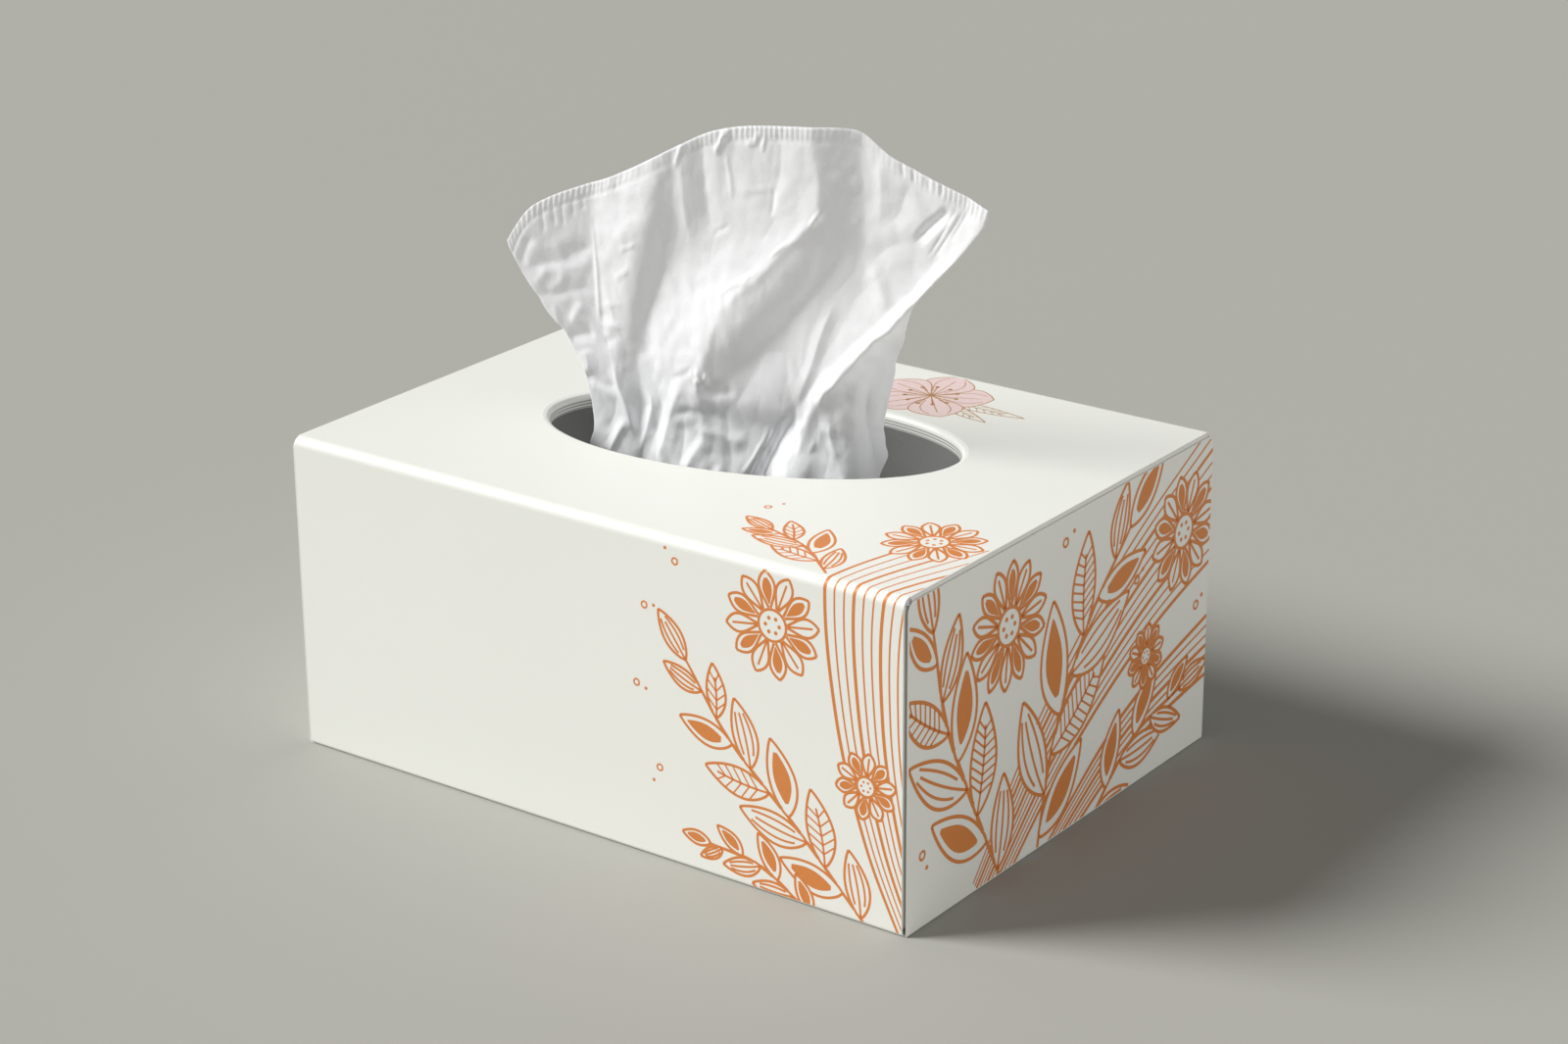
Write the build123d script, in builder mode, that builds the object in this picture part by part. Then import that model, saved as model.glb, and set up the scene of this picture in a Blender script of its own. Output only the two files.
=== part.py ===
from build123d import *
import os
from math import cos, exp, radians, sin, sqrt

# A tissue carton: a folded and glued paperboard blank with an oval opening in its top panel,
# a stack of interfolded tissues inside, and the top tissue drawn up through the opening.
# Origin at the centre of the base, X along the carton's length, front panel towards -Y, Z up.

# Carton: outside sizes, board and creases
carton_length = 200.0
carton_depth = 146.0
carton_height = 90.0
board = 0.6
top_crease_radius = 2.6
bottom_crease_radius = 1.2
flap_crease_radius = 0.5

# Carton: flaps folded over each other and glued at both ends, and the glued seam at the back
dust_flap_reach = 46.0
dust_flap_taper = 9.0
dust_flap_clearance = 1.5
inner_flap_reach = 52.0
outer_flap_top_gap = 0.9
outer_flap_corner_radius = 3.0
flap_side_inset = 0.7
seam_flap_width = 16.0
seam_flap_end_inset = 6.0

# Opening: an oval set at a slight turn to the panel, with its cut edge pressed down into a lip
opening_length = 117.0
opening_width = 60.0
opening_turn = 14.0
opening_offset_x = -1.0
opening_offset_y = 1.4
lip_depth = 3.8
lip_radius = 1.9
lip_angles = (0, 30, 60, 90)

# Stack of folded tissues, lying on the bottom panel
stack_height = 44.0
stack_side_clearance = 2.4
stack_fold_radius = 3.5

# Drawn tissue: how far it stands above the top panel, the width of its fan, and its folds
sheet_thickness = 0.7
sheet_rest_gap = 0.4
sheet_rise = 86.0
fan_width = 137.0
fold_depth = 10.0
fold_line_gap = 0.3
sheet_columns = 65
sheet_rows = 31
step_share = 0.001

# Top edge of the sheet: share of the way from left to right, height as a share of the rise
top_edge_shares = (
    (0, 0.515), (0.07, 0.64), (0.23, 0.76), (0.38, 0.9), (0.45, 0.955),
    (0.56, 0.99), (0.72, 1), (0.8, 0.93), (1, 0.825),
)
# Fold lines that run up the sheet, from its left edge to its right edge: the softness of each as a share
# of the fold depth, its places across the fan and its depths towards the front, one for each level.
# Levels are shares of the rise above the top panel, and fall to -1 at the sheet's foot on the stack.
fold_level_shares = (-1, -0.15, 0, 0.1, 0.2, 0.3, 0.4, 0.5, 0.6, 0.7, 0.8, 1)
fold_line_shares = (
    (  # left edge
        0.15,
        (-0.49, -0.36, -0.36, -0.375, -0.4, -0.455, -0.5, -0.535, -0.545, -0.545, -0.545, -0.54),
        (-0.2, -0.25, -0.42, -0.42, -0.42, -0.42, -0.42, -0.42, -0.42, -0.42, -0.42, -0.42),
    ),
    (  # crease of the left wing
        0.07,
        (-0.33, -0.255, -0.27, -0.295, -0.325, -0.345, -0.35, -0.355, -0.355, -0.36, -0.36, -0.36),
        (-0.05, 0.05, -0.12, -0.25, -0.43, -0.56, -0.6, -0.6, -0.62, -0.62, -0.62, -0.62),
    ),
    (  # left ridge
        0.2,
        (-0.295, -0.245, -0.26, -0.285, -0.3, -0.305, -0.295, -0.27, -0.245, -0.22, -0.195, -0.175),
        (-0.1, 0.1, -0.18, -0.25, -0.31, -0.33, -0.28, -0.17, -0.04, 0, 0.02, 0),
    ),
    (  # left valley
        0.15,
        (-0.27, -0.24, -0.25, -0.265, -0.255, -0.235, -0.21, -0.185, -0.17, -0.165, -0.165, -0.155),
        (-0.2, -0.1, -0.44, -0.5, -0.53, -0.54, -0.5, -0.42, -0.31, -0.18, -0.12, -0.1),
    ),
    (  # middle
        0.6,
        (-0.19, -0.18, -0.195, -0.2, -0.195, -0.165, -0.135, -0.1, -0.06, -0.045, -0.04, -0.03),
        (0, 0.3, -0.07, -0.14, -0.2, -0.23, -0.22, -0.16, -0.09, -0.06, -0.06, -0.06),
    ),
    (  # diagonal ridge
        0.08,
        (-0.085, -0.095, -0.105, -0.11, -0.1, -0.075, -0.045, 0.01, 0.07, 0.135, 0.15, 0.14),
        (0.1, 0.5, 0.23, 0.28, 0.33, 0.4, 0.45, 0.46, 0.49, 0.52, 0.44, 0.32),
    ),
    (  # diagonal valley
        0.4,
        (-0.03, -0.04, -0.07, -0.075, -0.02, 0.045, 0.1, 0.145, 0.175, 0.19, 0.2, 0.2),
        (0.05, 0.4, 0.07, 0.07, 0.04, 0, 0, 0.03, 0.08, 0.17, 0.14, 0.06),
    ),
    (  # crease of the right wing
        0.08,
        (0.025, 0.015, 0.045, 0.085, 0.12, 0.16, 0.19, 0.225, 0.235, 0.235, 0.23, 0.225),
        (0.05, 0.3, 0.05, 0.2, 0.25, 0.2, 0.11, 0.08, 0.06, 0.05, 0.02, -0.04),
    ),
    (  # foot of the hem
        0.07,
        (0.04, 0.025, 0.065, 0.1, 0.14, 0.205, 0.265, 0.32, 0.375, 0.405, 0.445, 0.455),
        (-0.2, -0.05, -0.22, 0.16, 0.25, 0.3, 0.35, 0.4, 0.46, 0.52, 0.6, 0.6),
    ),
    (  # crest of the hem
        0.06,
        (0.11, 0.09, 0.11, 0.135, 0.18, 0.235, 0.295, 0.345, 0.4, 0.455, 0.495, 0.5),
        (0.3, 0.8, 0.53, 0.6, 0.65, 0.69, 0.73, 0.77, 0.81, 0.85, 0.88, 0.88),
    ),
    (  # fold behind the hem
        0.18,
        (0.29, 0.22, 0.22, 0.23, 0.24, 0.27, 0.31, 0.35, 0.403, 0.458, 0.498, 0.503),
        (0, 0.25, 0, -0.12, -0.2, -0.06, 0.18, 0.7, 0.82, 0.85, 0.88, 0.88),
    ),
    (  # right edge
        0.1,
        (0.405, 0.27, 0.26, 0.265, 0.28, 0.295, 0.325, 0.355, 0.406, 0.461, 0.501, 0.506),
        (-0.1, -0.35, -0.58, -0.6, -0.56, -0.33, 0.1, 0.71, 0.82, 0.85, 0.88, 0.88),
    ),
)
# Gathers where the sheet passes the opening: level, place across the fan, depth, half width
gather_shares = (
    ((-0.15, -0.32, 0.16, 0.02), (-0.07, -0.3, 0.16, 0.02), (0.02, -0.268, 0, 0.02)),
    (
        (-0.16, -0.252, 0.2, 0.02), (-0.07, -0.234, 0.2, 0.02),
        (0.06, -0.216, 0.2, 0.02), (0.12, -0.23, 0, 0.02),
    ),
    (
        (-0.17, -0.21, 0.22, 0.025), (0, -0.176, 0.22, 0.025),
        (0.07, -0.16, 0.2, 0.025), (0.15, -0.14, 0, 0.025),
    ),
    ((-0.18, -0.148, 0.2, 0.022), (-0.08, -0.114, 0.2, 0.022), (0.01, -0.09, 0, 0.022)),
    ((-0.2, 0.16, -0.16, 0.026), (-0.1, 0.154, -0.16, 0.026), (0.01, 0.148, 0, 0.026)),
    ((-0.2, 0.178, 0.17, 0.022), (-0.1, 0.19, 0.15, 0.022), (0.08, 0.17, 0, 0.022)),
)

# Places worked out from the sizes above
tube_half = carton_length / 2 - 2 * board
inside_half_length = tube_half - board
panel_top = carton_height - board
opening_centre = (opening_offset_x, opening_offset_y)
stack_length = 2 * (inside_half_length - stack_side_clearance)
stack_depth = carton_depth - 4 * board - 2 * stack_side_clearance
stack_top = board + stack_height
sheet_foot = stack_top + sheet_rest_gap
sheet_depth_inside = carton_height - sheet_foot
fold_lines = [
    (fold_depth * softness, tuple(zip(fold_level_shares, places, depths)))
    for softness, places, depths in fold_line_shares
]

os.makedirs("parts", exist_ok=True)


def along(rows, level, column=1):
    """Value of a column at a level, on a smooth curve through rows sorted by level."""
    last = len(rows) - 1
    if level <= rows[0][0]:
        return rows[0][column]
    if level >= rows[last][0]:
        return rows[last][column]
    low = max(k for k in range(last) if rows[k][0] <= level)
    span = rows[low + 1][0] - rows[low][0]
    way = (level - rows[low][0]) / span

    def slope(k):
        before = rows[max(k - 1, 0)]
        after = rows[min(k + 1, last)]
        return (after[column] - before[column]) / (after[0] - before[0]) * span

    start = rows[low][column] * (1 + 2 * way) + slope(low) * way
    end = rows[low + 1][column] * (3 - 2 * way) + slope(low + 1) * (way - 1)
    return start * (1 - way) ** 2 + end * way ** 2


def fold_at(across, level):
    """Depth of the sheet towards the front: runs between the fold lines, rounded at each line."""
    places = [fan_width * along(rows, level) for softness, rows in fold_lines]
    depths = [fold_depth * along(rows, level, 2) for softness, rows in fold_lines]
    slopes = [
        (depths[k + 1] - depths[k]) / max(places[k + 1] - places[k], fold_line_gap)
        for k in range(len(places) - 1)
    ]
    depth = depths[0] + slopes[0] * (across - places[0])
    for k in range(1, len(slopes)):
        past = across - places[k]
        softness = fold_lines[k][0]
        depth += (slopes[k] - slopes[k - 1]) * (past + sqrt(past ** 2 + softness ** 2)) / 2
    for gather in gather_shares:
        crest = fan_width * along(gather, level)
        width = fan_width * along(gather, level, 3)
        depth += fold_depth * along(gather, level, 2) * exp(-(((across - crest) / width) ** 2))
    return depth


def sheet_point(share, way):
    """Point of the sheet: share from its left to its right edge, way from the stack to its top edge."""
    drawn_length = sheet_depth_inside + sheet_rise * along(top_edge_shares, share)
    height = way * drawn_length - sheet_depth_inside
    level = height / sheet_rise
    if height < 0:
        sunk = max(1 + height / sheet_depth_inside, 0)
        level = sunk ** (sheet_depth_inside / sheet_rise) - 1
    left = fan_width * along(fold_lines[0][1], level)
    right = fan_width * along(fold_lines[-1][1], level)
    across = left + share * (right - left)
    return Vector(across, -fold_at(across, level), height)


def oval(height, growth):
    """Sketch of the opening's oval at a height, grown all round."""
    with BuildSketch(Plane.XY.offset(height), mode=Mode.PRIVATE) as section:
        with Locations(Location((*opening_centre, 0), (0, 0, opening_turn))):
            Ellipse(opening_length / 2 + growth, opening_width / 2 + growth)
    return section.sketch


# Carton: the blank's four long panels, folded round the long creases into a tube
with BuildPart() as carton:
    with BuildSketch(Plane.YZ) as tube_section:
        Rectangle(carton_depth, carton_height, align=(Align.CENTER, Align.MIN))
        outer_corners = tube_section.vertices().group_by(Axis.Y)
        fillet(outer_corners[0], bottom_crease_radius)
        fillet(tube_section.vertices().group_by(Axis.Y)[-1], top_crease_radius)
        offset(amount=-board, mode=Mode.SUBTRACT)
    extrude(amount=tube_half, both=True)

    # Glued seam: the blank's last flap, inside the back panel
    with BuildSketch(Plane.YZ):
        with Locations((carton_depth / 2 - board, board)):
            Rectangle(board, seam_flap_width, align=(Align.MAX, Align.MIN))
    extrude(amount=inside_half_length - seam_flap_end_inset, both=True)

    # Dust flaps, folded in from the front and back panels and tapered towards their free ends
    flap_foot = board + dust_flap_clearance
    flap_head = panel_top - dust_flap_clearance
    for side in (-1, 1):
        hinge = side * (carton_depth / 2 - board)
        free_end = side * (carton_depth / 2 - dust_flap_reach)
        with BuildSketch(Plane.YZ.offset(tube_half)):
            with BuildLine():
                Polyline(
                    (hinge, flap_foot),
                    (free_end, flap_foot + dust_flap_taper),
                    (free_end, flap_head - dust_flap_taper),
                    (hinge, flap_head),
                    close=True,
                )
            make_face()
        extrude(amount=-board)

    # Inner end flap, folded down from the top panel over the dust flaps
    with BuildSketch(Plane.YZ.offset(tube_half)):
        with Locations((0, carton_height)):
            Rectangle(
                carton_depth - 2 * top_crease_radius,
                inner_flap_reach,
                align=(Align.CENTER, Align.MAX),
            )
    extrude(amount=board)

    # Outer end flap, folded up from the bottom panel and glued over the whole end
    outer_flap_width = carton_depth - 2 * flap_side_inset
    with BuildSketch(Plane.YZ.offset(tube_half)):
        Rectangle(outer_flap_width, board, align=(Align.CENTER, Align.MIN))
    extrude(amount=board)
    with BuildSketch(Plane.YZ.offset(tube_half + board)) as outer_flap:
        Rectangle(
            outer_flap_width,
            carton_height - outer_flap_top_gap,
            align=(Align.CENTER, Align.MIN),
        )
        fillet(outer_flap.vertices().group_by(Axis.Y)[-1], outer_flap_corner_radius)
    extrude(amount=board)

    # Creases of the end: under the outer flap and over the inner flap
    across_edges = carton.edges().filter_by(Axis.Y)
    fillet(
        [
            across_edges.group_by(Axis.X)[-1].sort_by(Axis.Z)[0],
            across_edges.group_by(Axis.Z)[-1].sort_by(Axis.X)[-1],
        ],
        flap_crease_radius,
    )
    split(bisect_by=Plane.YZ, keep=Keep.TOP)
    mirror(about=Plane.YZ)

    # Opening: the lip's outside is added under the panel, then its inside is cut through both
    lip_turn_height = carton_height - lip_radius
    for wall, mode in ((board, Mode.ADD), (0, Mode.SUBTRACT)):
        bend_radius = lip_radius - wall
        bend = [
            oval(
                lip_turn_height + bend_radius * sin(radians(angle)),
                lip_radius - bend_radius * cos(radians(angle)),
            )
            for angle in lip_angles
        ]
        loft(bend, ruled=True, mode=mode)
        extrude(bend[0], amount=lip_radius - lip_depth, mode=mode)

carton.part.label = "carton"
export_step(carton.part, "parts/carton.step")

# Stack: the folded tissues lie flat in one block, with round folds along the front and back
with BuildPart() as tissue_stack:
    with BuildSketch(Plane.YZ) as stack_section:
        with Locations((0, board)):
            Rectangle(stack_depth, stack_height, align=(Align.CENTER, Align.MIN))
        fillet(stack_section.vertices(), stack_fold_radius)
    extrude(amount=stack_length / 2, both=True)

tissue_stack.part.label = "tissue_stack"
export_step(tissue_stack.part, "parts/tissue_stack.step")

# Drawn tissue: a net of points from the sheet's foot on the stack to its free top edge, on a front
# and a back side that stand apart by the sheet's thickness, closed by a rim round its four edges
sheet_plane = Plane(
    origin=(*opening_centre, carton_height),
    x_dir=Vector(1, 0, 0).rotate(Axis.Z, opening_turn),
)


def sheet_normal(share, way):
    """Normal of the sheet, pointing to the back."""
    along_row = sheet_point(share + step_share, way) - sheet_point(share - step_share, way)
    up_sheet = sheet_point(share, way + step_share) - sheet_point(share, way - step_share)
    return along_row.cross(up_sheet).normalized()


def sheet_side(distance):
    """Rows of points on one side of the sheet, at a distance from its middle surface."""
    side = []
    for row in range(sheet_rows):
        way = row / (sheet_rows - 1)
        points = []
        for column in range(sheet_columns):
            share = column / (sheet_columns - 1)
            point = sheet_point(share, way) + sheet_normal(share, way) * distance
            points.append(sheet_plane.from_local_coords(point))
        side.append(points)
    return side


def strip(first, second):
    """Flat triangles between two lines of points."""
    facets = []
    for near, far in zip(zip(first, first[1:]), zip(second, second[1:])):
        corners = [near[0], near[1], far[1], far[0]]
        if (corners[0] - corners[2]).length > (corners[1] - corners[3]).length:
            corners = corners[1:] + corners[:1]
        facets.append(Face(Wire.make_polygon((corners[0], corners[1], corners[2]))))
        facets.append(Face(Wire.make_polygon((corners[0], corners[2], corners[3]))))
    return facets


with BuildPart() as pulled_tissue:
    front = sheet_side(-sheet_thickness / 2)
    back = sheet_side(sheet_thickness / 2)
    facets = []
    for side in (front, back):
        for low, high in zip(side, side[1:]):
            facets += strip(low, high)
    for place in (0, -1):
        facets += strip(front[place], back[place])
        facets += strip([row[place] for row in front], [row[place] for row in back])
    add(Solid(Shell(facets)))

pulled_tissue.part.label = "pulled_tissue"
export_step(pulled_tissue.part, "parts/pulled_tissue.step")
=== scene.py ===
# A tissue carton with its top tissue drawn up through the opening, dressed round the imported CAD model.
# Metres, X along the carton, front panel towards -Y, Z up; angles in degrees where a name says so.
import math

import bmesh
import bpy
import numpy as np
from mathutils import Matrix, Vector
from mathutils import noise as paper_noise


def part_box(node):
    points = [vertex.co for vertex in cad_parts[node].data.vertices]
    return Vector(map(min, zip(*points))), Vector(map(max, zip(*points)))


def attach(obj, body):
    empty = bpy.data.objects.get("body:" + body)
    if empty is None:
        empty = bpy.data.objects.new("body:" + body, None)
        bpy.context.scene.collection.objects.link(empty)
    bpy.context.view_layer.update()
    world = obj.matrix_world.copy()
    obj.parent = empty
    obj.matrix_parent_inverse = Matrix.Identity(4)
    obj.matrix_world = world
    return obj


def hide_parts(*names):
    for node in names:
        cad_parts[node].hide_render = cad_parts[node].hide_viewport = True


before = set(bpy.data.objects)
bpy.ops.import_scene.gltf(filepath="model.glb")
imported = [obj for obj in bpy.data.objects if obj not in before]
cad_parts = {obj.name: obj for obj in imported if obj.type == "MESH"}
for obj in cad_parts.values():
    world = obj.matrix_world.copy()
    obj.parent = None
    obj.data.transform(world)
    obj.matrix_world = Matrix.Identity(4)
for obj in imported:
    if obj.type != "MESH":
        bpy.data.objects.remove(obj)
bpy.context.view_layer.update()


# Carton: one blank of coated paperboard, creased into a tube and glued at the seam and both ends.
# Its outside is satin white, its inside bare grey board, and its cut edges show the plies.
# The opening's cut edge is pressed down into a lip whose lowest part shows fine ply lines.
carton_low, carton_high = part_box("carton")
carton_height = carton_high.z
opening_centre = (-0.0010, 0.0014)
opening_turn = math.radians(14.0)
opening_half_length = 0.0585
opening_half_width = 0.0300
board = 0.0006
boards_to_end_middle = 2.5
boards_with_end_edges = 2
coat_white = (0.875, 0.880, 0.830, 1.0)
coat_white_low = (0.850, 0.856, 0.806, 1.0)
bare_grey = (0.88, 0.88, 0.865, 1.0)
bare_fleck = (0.79, 0.79, 0.77, 1.0)
coat_drift_scale = 14.0
fleck_scale = 900.0
fleck_detail = 4.0
lip_depth = 0.0042
lip_reach_share = 1.012
rim_line_pitch = 0.00085
rim_line_start = 0.0013
rim_line_sharpness = 0.4
rim_dark = (0.16, 0.16, 0.16, 1.0)
ply_pitch = 0.0002
ply_contrast = 0.25
ply_lightness = 0.7
ply_light = (0.80, 0.79, 0.75, 1.0)
ply_dark = (0.52, 0.51, 0.48, 1.0)
cut_edge_facing = 0.6
coat_roughness = 0.40
bare_extra_roughness = 0.35
roughness_drift = 0.12
roughness_scale = 260.0
fine_grain_scale = 1400.0
fine_grain_share = 0.5
broad_grain_scale = 60.0
broad_grain_share = 0.6
grain_detail = 2.0
board_bump_share = 0.05
board_bump_height = 0.0006


def add_node(tree, kind, links=None, **settings):
    """Adds a shader node, sets its properties, and links or sets its inputs by name or place."""
    made = tree.nodes.new("ShaderNode" + kind)
    for name, value in settings.items():
        setattr(made, name, value)
    for key, value in (links or {}).items():
        if isinstance(value, bpy.types.NodeSocket):
            tree.links.new(value, made.inputs[key])
        else:
            made.inputs[key].default_value = value
    return made


def calc(tree, operation, first, second=0.0, third=0.0):
    """One math node on sockets or numbers."""
    return add_node(tree, "Math", {0: first, 1: second, 2: third}, operation=operation).outputs[0]


def blend_colours(tree, share, low, high):
    """Colour between two colours or colour sockets."""
    return add_node(tree, "Mix", {0: share, 6: low, 7: high}, data_type="RGBA").outputs[2]


def new_material(name, **shader_values):
    """Material with one principled shader, its constant sockets set directly, and its place socket."""
    made = bpy.data.materials.new(name)
    made.use_nodes = True
    shader = made.node_tree.nodes["Principled BSDF"]
    for key, value in shader_values.items():
        shader.inputs[key.replace("_", " ")].default_value = value
    place = add_node(made.node_tree, "TexCoord").outputs["Object"]
    return made, made.node_tree, shader, place


def noise(tree, place, scale, detail=3.0):
    """Noise value at a place socket."""
    return add_node(tree, "TexNoise", {"Vector": place, "Scale": scale, "Detail": detail}).outputs[0]


def emboss(tree, shader, relief, share, height):
    """Bumps a shader by a relief socket."""
    bump = add_node(tree, "Bump", {"Strength": share, "Distance": height, "Height": relief})
    tree.links.new(bump.outputs[0], shader.inputs["Normal"])


board_look, tree, shader, place = new_material(
    "coated_board", Coat_Weight=0.06, Coat_Roughness=0.35, IOR=1.46
)
split = add_node(tree, "SeparateXYZ", {0: place}).outputs
normal = add_node(tree, "NewGeometry").outputs["True Normal"]
facing = add_node(tree, "SeparateXYZ", {0: normal}).outputs

# Inside faces: all within the board's middle surface that faces the carton's middle, but for the lip
half_length = carton_high.x - boards_to_end_middle * board
half_depth = carton_high.y - board / 2
half_height = (carton_height - board) / 2
off_x = calc(tree, "ABSOLUTE", split[0])
reach_x = calc(tree, "DIVIDE", off_x, half_length)
reach_y = calc(tree, "DIVIDE", calc(tree, "ABSOLUTE", split[1]), half_depth)
from_half_height = calc(tree, "ABSOLUTE", calc(tree, "SUBTRACT", split[2], carton_height / 2))
reach_z = calc(tree, "DIVIDE", from_half_height, half_height)
deepest = calc(tree, "MAXIMUM", calc(tree, "MAXIMUM", reach_x, reach_y), reach_z)
from_middle = add_node(
    tree, "VectorMath", {0: place, 1: (0.0, 0.0, carton_height / 2)}, operation="SUBTRACT"
).outputs[0]
outwards = add_node(
    tree, "VectorMath", {0: normal, 1: from_middle}, operation="DOT_PRODUCT"
).outputs["Value"]
within = calc(
    tree, "MULTIPLY",
    calc(tree, "LESS_THAN", deepest, 1.0),
    calc(tree, "LESS_THAN", outwards, 0.0),
)
local = add_node(
    tree, "Mapping",
    {0: place, 1: (*opening_centre, 0.0), 2: (0.0, 0.0, opening_turn)},
    vector_type="TEXTURE",
).outputs[0]
local_split = add_node(tree, "SeparateXYZ", {0: local}).outputs
oval_x = calc(tree, "POWER", calc(tree, "DIVIDE", local_split[0], opening_half_length), 2.0)
oval_y = calc(tree, "POWER", calc(tree, "DIVIDE", local_split[1], opening_half_width), 2.0)
oval_reach = calc(tree, "ADD", oval_x, oval_y)
lip_wall = calc(
    tree, "MULTIPLY",
    calc(tree, "LESS_THAN", oval_reach, lip_reach_share),
    calc(tree, "GREATER_THAN", split[2], carton_height - lip_depth),
)
inside = calc(tree, "MULTIPLY", within, calc(tree, "SUBTRACT", 1.0, lip_wall))

# Outside coat with a slow drift of tone, bare inside with flecks, and ply lines on cut edges
coat = blend_colours(tree, noise(tree, place, coat_drift_scale), coat_white_low, coat_white)
bare = blend_colours(tree, noise(tree, place, fleck_scale, fleck_detail), bare_fleck, bare_grey)
end_edge_start = carton_high.x - boards_with_end_edges * board
end_edge = calc(
    tree, "MULTIPLY",
    calc(tree, "GREATER_THAN", off_x, end_edge_start),
    calc(tree, "LESS_THAN", calc(tree, "ABSOLUTE", facing[0]), cut_edge_facing),
)
edge_lines = calc(tree, "SINE", calc(tree, "MULTIPLY", split[0], 2 * math.pi / ply_pitch))
rim_wave = calc(tree, "SINE", calc(tree, "MULTIPLY", split[2], 2 * math.pi / rim_line_pitch))
rim_lines = calc(tree, "POWER", calc(tree, "MULTIPLY_ADD", rim_wave, 0.5, 0.5), rim_line_sharpness)
rim_low = calc(
    tree, "MULTIPLY", lip_wall, calc(tree, "LESS_THAN", split[2], carton_height - rim_line_start)
)
ply_tone = calc(tree, "MULTIPLY_ADD", edge_lines, ply_contrast, ply_lightness)
edge_colour = blend_colours(tree, ply_tone, ply_dark, ply_light)
rim_colour = blend_colours(tree, rim_lines, rim_dark, coat)
colour = blend_colours(tree, inside, coat, bare)
colour = blend_colours(tree, end_edge, colour, edge_colour)
colour = blend_colours(tree, rim_low, colour, rim_colour)
tree.links.new(colour, shader.inputs["Base Color"])
face_roughness = calc(tree, "MULTIPLY_ADD", inside, bare_extra_roughness, coat_roughness)
roughness_noise = noise(tree, place, roughness_scale)
rough = calc(tree, "MULTIPLY_ADD", roughness_noise, roughness_drift, face_roughness)
tree.links.new(rough, shader.inputs["Roughness"])
grain = calc(
    tree, "ADD",
    calc(tree, "MULTIPLY", noise(tree, place, fine_grain_scale, grain_detail), fine_grain_share),
    calc(tree, "MULTIPLY", noise(tree, place, broad_grain_scale, grain_detail), broad_grain_share),
)
emboss(tree, shader, grain, board_bump_share, board_bump_height)
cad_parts["carton"].data.materials.clear()
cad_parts["carton"].data.materials.append(board_look)


# Drawn tissue: one two-ply sheet of soft creped paper, drawn up by hand from the stack into a fan.
# It is gathered where it passes the opening, its top edge has a pressed rib, and it stands by its folds.
sheet_rise = 0.086
sheet_inside = 0.0450
fan_width = 0.137
fold_depth = 0.010
fold_line_gap = 0.0003
sheet_columns = 300
sheet_rows = 146
sheet_thickness = 0.00022
# Share of the way from left to right, and height of the top edge as a share of the rise
top_edge_shares = (
    (0.0, 0.515), (0.07, 0.64), (0.23, 0.76), (0.38, 0.9), (0.45, 0.955),
    (0.56, 0.99), (0.72, 1.0), (0.80, 0.93), (1.0, 0.825),
)
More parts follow.
